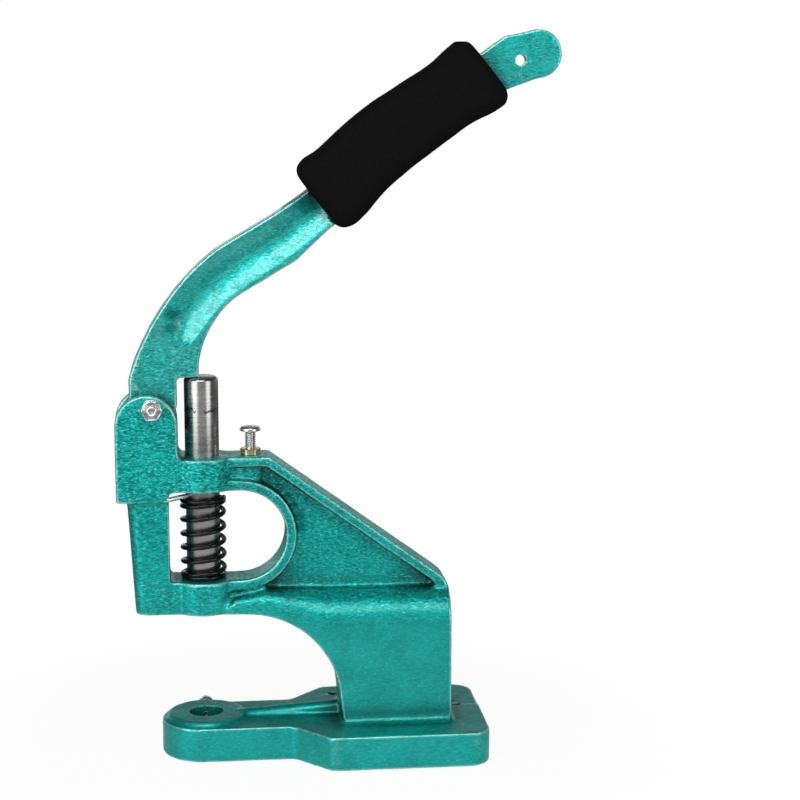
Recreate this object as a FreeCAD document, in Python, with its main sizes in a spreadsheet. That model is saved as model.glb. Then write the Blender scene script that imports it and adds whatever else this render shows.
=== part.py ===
import FreeCAD, Part
import math
import os
import re
import Sketcher
from FreeCAD import Placement, Rotation, Vector

# Eyelet machine: a cast-iron C-frame press worked by a hand lever.
# Frame of the part: millimetres, origin on the ram's axis at the underside of the base,
# +X towards the back, +Z up, +Y to the side where the die is clamped.

os.makedirs("parts", exist_ok=True)
doc = FreeCAD.newDocument("EyeletMachine")
sheet = doc.addObject("Spreadsheet::Sheet", "Sizes")
# Driving dimensions
SIZES = {
    # Overall: height over the base, and reach from the ram's axis, both to the end of the lever
    "height": 383.7,
    "reach": 189.8,
    # Base: a plate with a narrow nose that carries the die seat
    "base_thick": 18.4,
    "base_half": 44.6,
    "base_rear": 149.5,
    "base_corner": 12,
    "nose_radius": 23.5,
    "neck_end": 46.4,
    "flare_end": 64.8,
    "flare_round": 7,
    "seat_radius": 21,
    "seat_rise": 2.7,
    "seat_round": 1.5,
    "die_bore": 18.6,
    "foot_hole": 5.6,
    "front_hole_x": 70.6,
    "front_hole_y": 31.7,
    "rear_hole_x": 137.2,
    "rear_hole_y": 7.5,
    "mould_step": 1,
    "mould_line": 5.5,
    # Pedestal and lower arm
    "pedestal_rear": 130.8,
    "pedestal_half": 22,
    "pedestal_top": 89.5,
    "foot_round": 4.2,
    "throat_radius": 47.5,
    "throat_start": 25,
    "throat_side": 70.6,
    "throat_spring": 38,
    "throat_foot": 73.3,
    "knee_x": 66,
    "knee_top": 89.5,
    "elbow_x": 33,
    "elbow_half": 17.3,
    "elbow_top": 90.3,
    "wrist_x": 16,
    "wrist_half": 15.4,
    "wrist_top": 86.3,
    "cuff_x": 9,
    "cuff_half": 14.4,
    "cuff_top": 80,
    "brace_start": 17,
    "brace_half": 4.2,
    "brace_low": 21.4,
    "brace_high": 25.2,
    "brace_root": 15,
    "brace_crown": 3,
    "cheek_half": 9.4,
    "cheek_low": 83,
    # Web, flange and the rim round the window
    "web_half": 5,
    "flange_half": 11,
    "flange_thick": 5,
    "flange_start": 35.2,
    "flange_run": 87.6,
    "flange_fall": 63.9,
    "flange_corner": 14,
    "flange_tail": 9,
    "window_floor": 95.9,
    "window_top": 144.4,
    "window_reach": 43.7,
    "rim_thick": 5.45,
    # Lugs, front column and the forked head
    "lug_radius": 17,
    "arm_low": 78.3,
    "head_top": 162.3,
    "column_face": -18,
    "column_front": -39.9,
    "column_toe": -36.2,
    "column_half": 12,
    "column_round": 6,
    "head_front": -45.3,
    "head_rear": -12.6,
    "head_low": 139.4,
    "head_half": 14,
    "head_fillet": 4,
    "ear_top": 196.5,
    # Lever
    "pivot_x": -25.8,
    "pivot_height": 189.3,
    "hub_radius": 12.6,
    "hub_gap": 1.2,
    "lever_half": 7,
    "fork_gap": 0.3,
    "neck_front": -37.6,
    "neck_rear": -12.6,
    "heel_tip": -1,
    "heel_gap": 0.1,
    "heel_side": 6.5,
    "belly_x": 19.7,
    "belly_height": 247,
    "belly_radius": 52.6,
    "under_back": 10.1,
    "under_down": 25,
    "back_foot": 204,
    "back_x": 9,
    "back_height": 271.6,
    "back_radius": 134,
    "bend_back": 20.2,
    "grip_back": 129.6,
    "grip_down": 93.8,
    "grip_angle": 37.6,
    "grip_length": 113,
    "grip_start": 4.5,
    "grip_rise": 24,
    "grip_crown": 25.6,
    "grip_drop": 18,
    "grip_waist": 12,
    "grip_half": 15.5,
    "grip_round": 11,
    "grip_fit": 0.3,
    "bar_half": 11.4,
    "bar_thick": 10,
    "scoop_depth": 2.6,
    "scoop_lip": 4,
    "scoop_x": -6,
    "scoop_height": 221,
    "scoop_width": 16.5,
    "scoop_slant": 10,
    "scoop_end": 3,
    "under_lip_x": 2.4,
    "under_lip_z": 3.2,
    "over_lip_x": 2,
    "over_lip_z": 3.6,
    "tip_radius": 12.5,
    "tip_back": 17.5,
    "tip_rise": 9,
    "tip_thick": 7,
    "hang_hole": 5.8,
    "hang_back": 9.2,
    "hang_down": 3.3,
    # Ram, its cross pin and return spring
    "ram_dia": 18,
    "ram_fit": 0.05,
    "ram_length": 124.3,
    "ram_recess": 1.7,
    "ram_chamfer": 1.5,
    "die_thread": 10,
    "die_thread_deep": 20,
    "pin_dia": 2.6,
    "pin_length": 52,
    "pin_turn": 43,
    "pin_fit": 0.02,
    "pin_gap": 1.2,
    "spring_dia": 24.5,
    "spring_wire": 2.5,
    "spring_pitch": 7.25,
    "spring_gap": 0.1,
    # Screws, nuts and the pivot bolt
    "pivot_dia": 6,
    "pivot_fit": 0.05,
    "pivot_head": 4,
    "pivot_nut_thick": 5,
    "pivot_stub": 1.2,
    "hex_flats": 10,
    "stop_x": 25.5,
    "stop_dia": 6,
    "stop_head_dia": 11,
    "stop_head_thick": 2.4,
    "stop_head_height": 177.2,
    "stop_length": 26,
    "stop_boss": 8.4,
    "lock_thick": 3,
    "clamp_dia": 4,
    "clamp_height": 15.4,
    "clamp_head_dia": 8.2,
    "clamp_head_thick": 3,
    "clamp_stand": 6.5,
    "clamp_back": 2.4,
    "thread_fit": 0.05,
}
for row, (alias, value) in enumerate(SIZES.items(), start=1):
    sheet.set(f"A{row}", alias)
    sheet.set(f"B{row}", str(value))
    sheet.setAlias(f"B{row}", alias)
doc.recompute()

# Lengths that follow from the sizes above
SLOPE = "sqrt(flange_run ^ 2 + flange_fall ^ 2)"
RISE_AT = "(head_top - (pedestal_rear - flange_start) * flange_fall / flange_run)"
CORNER = f"(flange_corner * ({SLOPE} - flange_fall) / flange_run)"
STRIP = f"(flange_thick * {SLOPE} / flange_run)"
WINDOW_RADIUS = "((window_top - window_floor) / 2)"
WINDOW_MID = "((window_top + window_floor) / 2)"
WINDOW_X = f"(window_reach - {WINDOW_RADIUS})"
EAR_RADIUS = "((head_rear - head_front) / 2)"
EAR_X = "((head_rear + head_front) / 2)"
EAR_Z = f"(ear_top - {EAR_RADIUS})"
TIP_X = "(reach - tip_radius)"
TIP_Z = "(height - tip_radius)"
GRIP_X = "(reach - grip_back)"
GRIP_Z = "(height - grip_down)"
SLOT_FLOOR = "(pivot_height - hub_radius - hub_gap)"
RAM_TOP = "(arm_low + ram_recess + ram_length)"
HEEL = f"({RAM_TOP} + heel_gap)"
PIN_Z = "(window_top - pin_gap - pin_dia / 2)"
SPRING_TOP = f"({PIN_Z} - pin_dia / 2 - spring_gap)"
PEDESTAL_LEAN = "((throat_foot - throat_side) / (throat_spring - base_thick))"


def linked(text):
    """Puts the sheet's name before every alias in an expression."""
    words = re.split(r"([a-z_]+)", text)
    return "".join("Sizes." + word if word in SIZES else word for word in words)


def now(text):
    """The present value of an expression, for starting shapes and for finding edges."""
    answer = doc.Sizes.evalExpression(linked(str(text)))
    return float(getattr(answer, "Value", answer))


def bind(thing, prop, text):
    thing.setExpression(prop, linked(str(text)))


def new_body(label):
    body = doc.addObject("PartDesign::Body", label)
    body.Label = label
    return body


def sketch(body, role, name, lift=None):
    """A sketch on one of the body's own planes, lifted off it along the plane's normal."""
    drawing = body.newObject("Sketcher::SketchObject", name)
    plane = next(item for item in body.Origin.OriginFeatures if item.Role == role)
    drawing.AttachmentSupport = (plane, [""])
    drawing.MapMode = "FlatFace"
    if lift is not None:
        bind(drawing, "AttachmentOffset.Base.z", lift)
    return drawing


def pin_point(drawing, shape, spot, across, up):
    """Ties one point of a sketch to two expressions."""
    for kind, text in (("DistanceX", across), ("DistanceY", up)):
        index = drawing.addConstraint(Sketcher.Constraint(kind, -1, 1, shape, spot, now(text)))
        bind(drawing, f"Constraints[{index}]", text)


def circle(drawing, across, up, radius):
    index = drawing.addGeometry(Part.Circle(Vector(now(across), now(up), 0), Vector(0, 0, 1), now(radius)))
    pin_point(drawing, index, 3, across, up)
    rule = drawing.addConstraint(Sketcher.Constraint("Radius", index, now(radius)))
    bind(drawing, f"Constraints[{rule}]", radius)


def outline(drawing, steps):
    """A closed outline. A step (x, y) is the end of a straight side, and (x, y, radius) the end of an arc
    that bends left, or right where the radius has a minus sign."""
    ends = [Vector(now(step[0]), now(step[1]), 0) for step in steps]
    corners = []
    for count, step in enumerate(steps):
        start, end = ends[count - 1], ends[count]
        if len(step) == 2:
            shape = drawing.addGeometry(Part.LineSegment(start, end))
            corners.append((shape, 1, 2))
            continue
        radius = now(step[2])
        chord = end - start
        side = Vector(-chord.y, chord.x, 0).normalize() * math.copysign(1, radius)
        reach = math.sqrt(radius ** 2 - (chord.Length / 2) ** 2)
        centre = (start + end) / 2 + side * reach
        crest = centre - side * abs(radius)
        shape = drawing.addGeometry(Part.Arc(start, crest, end))
        corners.append((shape, 1, 2) if radius > 0 else (shape, 2, 1))
        rule = drawing.addConstraint(Sketcher.Constraint("Radius", shape, abs(radius)))
        bind(drawing, f"Constraints[{rule}]", step[2].lstrip("-"))
    for count, (shape, first, last) in enumerate(corners):
        before = corners[count - 1]
        drawing.addConstraint(Sketcher.Constraint("Coincident", before[0], before[2], shape, first))
        pin_point(drawing, shape, last, steps[count][0], steps[count][1])


def rectangle(drawing, left, low, right, high):
    outline(drawing, [(right, low), (right, high), (left, high), (left, low)])


def pad(body, drawing, length, both=False, back=False):
    """Adds material from a sketch; 'both' spreads it evenly to both sides."""
    feature = body.newObject("PartDesign::Pad", drawing.Name + "_pad")
    feature.Profile = drawing
    bind(feature, "Length", length)
    feature.SideType = "Symmetric" if both else "One side"
    feature.Reversed = back
    return feature


def pocket(body, drawing, length, both=False, back=False):
    """Takes material away under a sketch, against its normal unless 'back' is set."""
    feature = body.newObject("PartDesign::Pocket", drawing.Name + "_cut")
    feature.Profile = drawing
    bind(feature, "Length", length)
    feature.SideType = "Symmetric" if both else "One side"
    feature.Reversed = back
    return feature


def break_edges(body, name, amount, wanted, bevel=False):
    """Rounds, or bevels, the edges of the body so far for which wanted(edge) is true."""
    doc.recompute()
    last = body.Tip
    names = [f"Edge{count + 1}" for count, edge in enumerate(last.Shape.Edges) if wanted(edge)]
    feature = body.newObject("PartDesign::Chamfer" if bevel else "PartDesign::Fillet", name)
    feature.Base = (last, names)
    bind(feature, "Size" if bevel else "Radius", amount)
    doc.recompute()
    return feature


def upright_at(places):
    """Says whether an edge stands upright at one of the places, given as (x, y) expressions."""
    spots = [(now(x), now(y)) for x, y in places]

    def test(edge):
        ends = [vertex.Point for vertex in edge.Vertexes]
        if len(ends) != 2 or abs(ends[0].x - ends[1].x) > 1e-3 or abs(ends[0].y - ends[1].y) > 1e-3:
            return False
        return any(math.hypot(ends[0].x - x, ends[0].y - y) < 0.01 for x, y in spots)

    return test


def ring_at(*heights):
    """Says whether an edge is a whole circle lying at one of the heights."""
    levels = [now(height) for height in heights]

    def test(edge):
        whole = len(edge.Vertexes) == 1
        return whole and any(abs(edge.Vertexes[0].Z - level) < 0.01 for level in levels)

    return test


# The casting's lower part: base plate with the die seat, and the brace that runs to the pedestal
def brace_section(body, name, station, top):
    """Section of the brace: upright sides rooted in the plate, and a round ridge."""
    drawing = sketch(body, "YZ_Plane", name, station)
    outline(drawing, [
        ("brace_half", "brace_root"),
        ("brace_half", f"{top} - brace_crown"),
        ("-brace_half", f"{top} - brace_crown", "((brace_half ^ 2 + brace_crown ^ 2) / (2 * brace_crown))"),
        ("-brace_half", "brace_root"),
    ])
    return drawing


def base_casting():
    body = new_body("base_casting")
    plate = sketch(body, "XY_Plane", "plate")
    outline(plate, [
        ("neck_end", "-nose_radius"),
        ("flare_end", "-base_half"),
        ("base_rear - base_corner", "-base_half"),
        ("base_rear", "-base_half + base_corner", "base_corner"),
        ("base_rear", "base_half - base_corner"),
        ("base_rear - base_corner", "base_half", "base_corner"),
        ("flare_end", "base_half"),
        ("neck_end", "nose_radius"),
        ("0", "nose_radius"),
        ("-nose_radius", "0", "nose_radius"),
        ("0", "-nose_radius", "nose_radius"),
    ])
    pad(body, plate, "base_thick")
    flares = [("neck_end", "nose_radius"), ("neck_end", "-nose_radius"),
              ("flare_end", "base_half"), ("flare_end", "-base_half")]
    break_edges(body, "flare_soft", "flare_round", upright_at(flares))
    seat = sketch(body, "XY_Plane", "seat", "base_thick / 2")
    circle(seat, "0", "0", "seat_radius")
    pad(body, seat, "base_thick / 2 + seat_rise")
    break_edges(body, "seat_soft", "seat_round", ring_at("base_thick + seat_rise"))
    brace = body.newObject("PartDesign::AdditiveLoft", "brace")
    brace.Profile = brace_section(body, "brace_nose", "brace_start", "brace_low")
    brace.Sections = [brace_section(body, "brace_foot", "throat_foot", "brace_high")]
    brace.Ruled = True
    brace_end = sketch(body, "XZ_Plane", "brace_end")
    outline(brace_end, [
        ("throat_foot", "base_thick"),
        ("throat_foot + 1", "base_thick"),
        ("throat_foot + 1", "brace_high + 1"),
        (f"throat_foot - (brace_high + 1 - base_thick) * {PEDESTAL_LEAN}", "brace_high + 1"),
    ])
    pocket(body, brace_end, "2 * brace_half + 1", both=True)
    die_bore = sketch(body, "XY_Plane", "die_seat", "base_thick + seat_rise + 1")
    circle(die_bore, "0", "0", "die_bore / 2")
    pocket(body, die_bore, "base_thick + seat_rise + 2")
    clamp_hole = sketch(body, "XZ_Plane", "clamp_hole")
    circle(clamp_hole, "0", "clamp_height", "clamp_dia / 2 + thread_fit")
    pocket(body, clamp_hole, "nose_radius + 5")
    fixings = sketch(body, "XY_Plane", "fixings", "base_thick + 1")
    circle(fixings, "front_hole_x", "front_hole_y", "foot_hole / 2")
    circle(fixings, "rear_hole_x", "rear_hole_y", "foot_hole / 2")
    pocket(body, fixings, "base_thick + 2")
    parting = sketch(body, "XY_Plane", "parting", "base_thick + 1")
    rectangle(parting, "pedestal_rear", "mould_line", "base_rear + 1", "base_half + 1")
    pocket(body, parting, "mould_step + 1")
    return body


# The casting's upper part: pedestal, arm and web, two lugs, front column and forked head
def arm_section(body, name, station, half, top, shoulder):
    """Half-barrel section of the lower arm: flat sides, and a quarter round up to the web."""
    drawing = sketch(body, "YZ_Plane", name, station)
    low = "base_thick"
    outline(drawing, [
        (half, low),
        (half, f"{top} - {shoulder}"),
        (f"{half} - {shoulder}", top, shoulder),
        (f"-({half} - {shoulder})", top),
        (f"-({half})", f"{top} - {shoulder}", shoulder),
        (f"-({half})", low),
    ])
    return drawing


def frame_casting():
    body = new_body("frame_casting")
    barrel = "(pedestal_half - web_half)"
    stations = [
        arm_section(body, "arm_cuff", "cuff_x", "cuff_half", "cuff_top", "1.5"),
        arm_section(body, "arm_wrist", "wrist_x", "wrist_half", "wrist_top", "3"),
        arm_section(body, "arm_elbow", "elbow_x", "elbow_half", "elbow_top", "(elbow_half - flange_half)"),
        arm_section(body, "arm_knee", "knee_x", "pedestal_half", "knee_top", barrel),
        arm_section(body, "arm_rear", "pedestal_rear", "pedestal_half", "pedestal_top", barrel),
    ]
    arm = body.newObject("PartDesign::AdditiveLoft", "arm")
    arm.Profile = stations[0]
    arm.Sections = stations[1:]
    arm.Ruled = True

    throat = sketch(body, "XZ_Plane", "throat")
    outline(throat, [
        ("throat_foot", "base_thick - 2"),
        ("throat_foot", "base_thick"),
        ("throat_side", "throat_spring"),
        ("throat_start", "arm_low", "throat_radius"),
        ("column_front - 20", "arm_low"),
        ("column_front - 20", "base_thick - 2"),
    ])
    pocket(body, throat, "4 * base_half", both=True)

    web = sketch(body, "XZ_Plane", "web")
    outline(web, [
        ("pedestal_rear", "arm_low"),
        ("pedestal_rear", f"{RISE_AT} - {CORNER}"),
        (f"pedestal_rear - {CORNER} * flange_run / {SLOPE}",
         f"{RISE_AT} + {CORNER} * flange_fall / {SLOPE}", "flange_corner"),
        ("flange_start", "head_top"),
        ("column_face - 2", "head_top"),
        ("column_face - 2", "arm_low"),
    ])
    pad(body, web, "2 * web_half", both=True)
    flange = sketch(body, "XZ_Plane", "flange")
    outline(flange, [
        ("pedestal_rear", f"{RISE_AT} - {CORNER} - flange_tail"),
        ("pedestal_rear", f"{RISE_AT} - {CORNER}"),
        (f"pedestal_rear - {CORNER} * flange_run / {SLOPE}",
         f"{RISE_AT} + {CORNER} * flange_fall / {SLOPE}", "flange_corner"),
        ("flange_start", "head_top"),
        ("column_face - 2", "head_top"),
        ("column_face - 2", "head_top - flange_thick"),
        (f"flange_start - ({STRIP} - flange_thick) * flange_run / flange_fall", "head_top - flange_thick"),
        ("pedestal_rear - flange_tail", f"{RISE_AT} + flange_tail * flange_fall / flange_run - {STRIP}"),
    ])
    pad(body, flange, "2 * flange_half", both=True)

    rim = sketch(body, "XZ_Plane", "rim")
    circle(rim, WINDOW_X, WINDOW_MID, f"{WINDOW_RADIUS} + rim_thick")
    pad(body, rim, "2 * flange_half", both=True)
    rails = sketch(body, "XZ_Plane", "rails")
    rectangle(rails, "column_face - 2", "window_floor - rim_thick", WINDOW_X, "window_top + rim_thick")
    pad(body, rails, "2 * flange_half", both=True)
    lugs = [("lower_lug", "arm_low", "window_floor + 1"), ("upper_lug", "window_top - 1", "head_top")]
    for name, low, high in lugs:
        lug = sketch(body, "XY_Plane", name, low)
        circle(lug, "0", "0", "lug_radius")
        pad(body, lug, f"{high} - ({low})")
    cheek = sketch(body, "XZ_Plane", "cheek")
    rectangle(cheek, "cuff_x", "cheek_low", "elbow_x", "window_floor - rim_thick + 1")
    pad(body, cheek, "2 * cheek_half", both=True)
    column = sketch(body, "XZ_Plane", "column")
    outline(column, [
        ("column_face", "arm_low"),
        ("column_face", "head_low + 2"),
        ("column_front", "head_low + 2"),
        ("column_toe", "arm_low"),
    ])
    pad(body, column, "2 * column_half", both=True)
    toe = sketch(body, "XZ_Plane", "toe")
    rectangle(toe, "column_face - 1", "arm_low", "0", "window_floor + 1")
    pad(body, toe, "2 * column_half", both=True)

    def column_corner(edge):
        middle = edge.CenterOfGravity
        aslope = abs(middle.z - now("(arm_low + head_low) / 2")) < 3
        return edge.BoundBox.ZLength > 40 and aslope and middle.x < now("column_face - 8")

    break_edges(body, "column_soft", "column_round", column_corner)
    head = sketch(body, "XZ_Plane", "head")
    rectangle(head, "head_front", "head_low", "head_rear", EAR_Z)
    pad(body, head, "2 * head_half", both=True)
    ears = sketch(body, "XZ_Plane", "ears")
    circle(ears, EAR_X, EAR_Z, EAR_RADIUS)
    pad(body, ears, "2 * head_half", both=True)
    corner = sketch(body, "XZ_Plane", "corner")
    outline(corner, [
        ("head_rear - 1", "head_top - 1"),
        ("head_rear + head_fillet", "head_top - 1"),
        ("head_rear + head_fillet", "head_top"),
        ("head_rear", "head_top + head_fillet", "-head_fillet"),
        ("head_rear - 1", "head_top + head_fillet"),
    ])
    pad(body, corner, "2 * flange_half", both=True)
    boss_height = "head_top - flange_thick / 2 - window_top - rim_thick / 2"
    boss = sketch(body, "XY_Plane", "boss", "window_top + rim_thick / 2")
    circle(boss, "stop_x", "0", "stop_boss")
    pad(body, boss, boss_height)
    boss_bridge = sketch(body, "XY_Plane", "boss_bridge", "window_top + rim_thick / 2")
    rectangle(boss_bridge, "cuff_x", "-stop_boss", "stop_x", "stop_boss")
    pad(body, boss_bridge, boss_height)

    window = sketch(body, "XZ_Plane", "window")
    outline(window, [
        (WINDOW_X, "window_floor"),
        ("window_reach", WINDOW_MID, WINDOW_RADIUS),
        (WINDOW_X, "window_top", WINDOW_RADIUS),
        ("column_face", "window_top"),
        ("column_face", "window_floor"),
    ])
    pocket(body, window, "4 * base_half", both=True)

    foot = sketch(body, "YZ_Plane", "foot", "throat_foot")
    outline(foot, [
        ("pedestal_half + foot_round", "base_thick"),
        ("pedestal_half", "base_thick + foot_round", "-foot_round"),
        ("-pedestal_half", "base_thick + foot_round"),
        ("-pedestal_half - foot_round", "base_thick", "-foot_round"),
    ])
    pad(body, foot, "pedestal_rear - throat_foot")

    ram_bore = sketch(body, "XY_Plane", "ram_bore", "arm_low - 1")
    circle(ram_bore, "0", "0", "ram_dia / 2 + ram_fit")
    pocket(body, ram_bore, "head_top - arm_low + 20", back=True)
    slot = sketch(body, "XZ_Plane", "slot")
    rectangle(slot, "head_front - 1", SLOT_FLOOR, "head_rear + 1", "ear_top + 1")
    pocket(body, slot, "2 * (lever_half + fork_gap)", both=True)
    pivot_hole = sketch(body, "XZ_Plane", "pivot_hole")
    circle(pivot_hole, "pivot_x", "pivot_height", "pivot_dia / 2 + pivot_fit")
    pocket(body, pivot_hole, "4 * head_half", both=True)
    stop_hole = sketch(body, "XY_Plane", "stop_hole", "head_top + 1")
    circle(stop_hole, "stop_x", "0", "stop_dia / 2 + thread_fit")
    pocket(body, stop_hole, "head_top + 1 - window_top + 1")
    return body


def along(distance, offset):
    """A point of the lever's side view, measured along the handle and square to it."""
    across = f"{GRIP_X} + ({distance}) * cos(grip_angle) - ({offset}) * sin(grip_angle)"
    up = f"{GRIP_Z} + ({distance}) * sin(grip_angle) + ({offset}) * cos(grip_angle)"
    return across, up


def flanks(body, name, steps, half):
    """Cuts both sides of a flat casting back to 'half' inside one outline."""
    near = sketch(body, "XZ_Plane", name + "_near", half)
    outline(near, steps)
    pocket(body, near, "lever_half", back=True)
    far = sketch(body, "XZ_Plane", name + "_far", f"-({half})")
    outline(far, steps)
    pocket(body, far, "lever_half")


# Lever casting: hub in the fork, heel over the ram, curved arm, bar inside the grip, flat end
def lever_casting():
    body = new_body("lever_casting")
    hub = sketch(body, "XZ_Plane", "hub")
    circle(hub, "pivot_x", "pivot_height", "hub_radius")
    pad(body, hub, "2 * lever_half", both=True)
    grip_end = "grip_start + grip_length"
    arm = sketch(body, "XZ_Plane", "lever_arm")
    outline(arm, [
        ("neck_rear", "pivot_height"),
        ("neck_rear", HEEL),
        ("heel_tip", HEEL),
        ("heel_tip", f"{HEEL} + heel_side"),
        ("belly_x", "belly_height", "-belly_radius"),
        (f"{GRIP_X} - under_back", f"{GRIP_Z} - under_down"),
        along("0", "-bar_half"),
        along(grip_end, "-bar_half"),
        (TIP_X, f"{TIP_Z} - tip_radius"),
        (TIP_X, "height"),
        (f"{TIP_X} - tip_back", f"{TIP_Z} + tip_rise"),
        along(grip_end, "bar_half"),
        along("0", "bar_half"),
        (f"{GRIP_X} - bend_back", GRIP_Z),
        ("back_x", "back_height"),
        ("neck_front", "back_foot", "back_radius"),
        ("neck_front", "pivot_height"),
    ])
    pad(body, arm, "2 * lever_half", both=True)
    tip = sketch(body, "XZ_Plane", "tip")
    circle(tip, TIP_X, TIP_Z, "tip_radius")
    pad(body, tip, "tip_thick", both=True)
    flanks(body, "bar", [
        along("grip_start - 0.5", "-4 * bar_half"),
        along("grip_start + 2 * grip_length", "-4 * bar_half"),
        along("grip_start + 2 * grip_length", "4 * bar_half"),
        along("grip_start - 0.5", "4 * bar_half"),
    ], "bar_thick / 2")
    flanks(body, "blade", [
        along("grip_start + grip_length - 4", "-4 * bar_half"),
        along("grip_start + 2 * grip_length", "-4 * bar_half"),
        along("grip_start + 2 * grip_length", "4 * bar_half"),
        along("grip_start + grip_length - 4", "4 * bar_half"),
    ], "tip_thick / 2")
    flanks(body, "scoop", [
        ("scoop_x", "scoop_height"),
        ("belly_x - under_lip_x", "belly_height + under_lip_z", "-(belly_radius + scoop_lip)"),
        (f"{GRIP_X} - under_back - under_lip_x", f"{GRIP_Z} - under_down + under_lip_z"),
        along("-scoop_end", "scoop_lip - bar_half"),
        along("-scoop_end", "bar_half - scoop_lip"),
        (f"{GRIP_X} - bend_back + over_lip_x", f"{GRIP_Z} - over_lip_z"),
        ("back_x + over_lip_x", "back_height - over_lip_z"),
        ("scoop_x - scoop_width", "scoop_height + scoop_slant", "back_radius - scoop_lip"),
    ], "lever_half - scoop_depth")
    bores = sketch(body, "XZ_Plane", "lever_bores")
    circle(bores, "pivot_x", "pivot_height", "pivot_dia / 2 + pivot_fit")
    circle(bores, f"{TIP_X} - hang_back", f"{TIP_Z} - hang_down", "hang_hole / 2")
    pocket(body, bores, "4 * lever_half", both=True)
    return body


# Grip: a foam sleeve, drawn along its own X axis and laid along the lever's bar
def grip_section(body, name, station, rise, drop):
    drawing = sketch(body, "YZ_Plane", name, f"grip_start + {station} * grip_length")
    outline(drawing, [
        ("grip_half", f"{rise} - grip_round"),
        ("grip_half - grip_round", rise, "grip_round"),
        ("-grip_half + grip_round", rise),
        ("-grip_half", f"{rise} - grip_round", "grip_round"),
        ("-grip_half", f"-({drop}) + grip_round"),
        ("-grip_half + grip_round", f"-({drop})", "grip_round"),
        ("grip_half - grip_round", f"-({drop})"),
        ("grip_half", f"-({drop}) + grip_round", "grip_round"),
    ])
    return drawing


def lever_grip():
    body = new_body("lever_grip")
    stations = [
        grip_section(body, "grip_mouth", "0", "grip_rise - 3", "grip_drop - 2.5"),
        grip_section(body, "grip_heel", "0.08", "grip_rise", "grip_drop"),
        grip_section(body, "grip_neck", "0.2", "grip_rise + 0.5", "grip_waist + 2"),
        grip_section(body, "grip_palm", "0.42", "grip_crown", "grip_waist"),
        grip_section(body, "grip_thumb", "0.82", "grip_rise - 2", "grip_waist + 1"),
        grip_section(body, "grip_flare", "0.94", "grip_rise - 1", "grip_drop - 1.5"),
        grip_section(body, "grip_end", "1", "grip_rise - 4", "grip_drop - 4"),
    ]
    sleeve = body.newObject("PartDesign::AdditiveLoft", "sleeve")
    sleeve.Profile = stations[0]
    sleeve.Sections = stations[1:]
    sleeve.Ruled = True
    cavity = sketch(body, "YZ_Plane", "cavity", "grip_start - 1")
    rectangle(cavity, "-(bar_thick / 2 + grip_fit)", "-(bar_half + grip_fit)",
              "bar_thick / 2 + grip_fit", "bar_half + grip_fit")
    pocket(body, cavity, "grip_length + 2", back=True)
    bind(body, "Placement.Base.x", GRIP_X)
    bind(body, "Placement.Base.z", GRIP_Z)
    body.Placement.Rotation = Rotation(Vector(0, -1, 0), 1)
    bind(body, "Placement.Rotation.Angle", "grip_angle")
    return body


# Ram with the cross pin that the spring lifts it by
def ram():
    body = new_body("ram")
    rod = sketch(body, "XY_Plane", "rod", "arm_low + ram_recess")
    circle(rod, "0", "0", "ram_dia / 2")
    pad(body, rod, "ram_length")
    break_edges(body, "rod_ends", "ram_chamfer", ring_at("arm_low + ram_recess", RAM_TOP), bevel=True)
    die_hole = sketch(body, "XY_Plane", "die_hole", "arm_low + ram_recess - 1")
    circle(die_hole, "0", "0", "die_thread / 2")
    pocket(body, die_hole, "die_thread_deep + 1", back=True)
    pin_hole = sketch(body, "XZ_Plane", "pin_hole")
    pin_hole.AttachmentOffset = Placement(Vector(), Rotation(Vector(0, -1, 0), 1))
    bind(pin_hole, "AttachmentOffset.Rotation.Angle", "90 - pin_turn")
    circle(pin_hole, "0", PIN_Z, "pin_dia / 2 + pin_fit")
    pocket(body, pin_hole, "2 * ram_dia", both=True)
    return body


def ram_pin():
    body = new_body("ram_pin")
    rod = sketch(body, "XZ_Plane", "pin_rod")
    circle(rod, "0", PIN_Z, "pin_dia / 2")
    pad(body, rod, "pin_length", both=True)
    body.Placement.Rotation = Rotation(Vector(0, 0, -1), 1)
    bind(body, "Placement.Rotation.Angle", "90 - pin_turn")
    return body


def return_spring():
    """A helix of round wire with both ends ground flat."""
    body = new_body("return_spring")
    wire = sketch(body, "XZ_Plane", "wire")
    circle(wire, "(spring_dia - spring_wire) / 2", "window_floor + spring_gap", "spring_wire / 2")
    coil = body.newObject("PartDesign::AdditiveHelix", "coil")
    coil.Profile = wire
    coil.ReferenceAxis = (wire, ["V_Axis"])
    coil.Mode = "pitch-height-angle"
    bind(coil, "Pitch", "spring_pitch")
    bind(coil, "Height", f"{SPRING_TOP} - window_floor - spring_gap")
    doc.recompute()
    ends = [("ground_top", SPRING_TOP, True), ("ground_foot", "window_floor + spring_gap", False)]
    for name, low, back in ends:
        face = sketch(body, "XY_Plane", name, low)
        circle(face, "0", "0", "spring_dia")
        pocket(body, face, "2 * spring_wire", back=back)
    return body


# Screws, nuts and the pivot bolt: hexagons are prisms, heads are turned
def cylinder(label, radius, height, base, across=False):
    """A plain cylinder standing on 'base', or lying along +Y where 'across' is set."""
    thing = doc.addObject("Part::Cylinder", label)
    bind(thing, "Radius", radius)
    bind(thing, "Height", height)
    if across:
        thing.Placement.Rotation = Rotation(Vector(1, 0, 0), -90)
    for axis, text in zip("xyz", base):
        bind(thing, f"Placement.Base.{axis}", text)
    return thing


def hexagon(label, flats, height, base, across=False):
    """A hexagonal prism on the same terms, with two flats facing up and down when it lies."""
    thing = doc.addObject("Part::Prism", label)
    thing.Polygon = 6
    bind(thing, "Circumradius", f"{flats} / sqrt(3)")
    bind(thing, "Height", height)
    if across:
        thing.Placement.Rotation = Rotation(Vector(1, 0, 0), -90)
    for axis, text in zip("xyz", base):
        bind(thing, f"Placement.Base.{axis}", text)
    return thing


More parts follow.
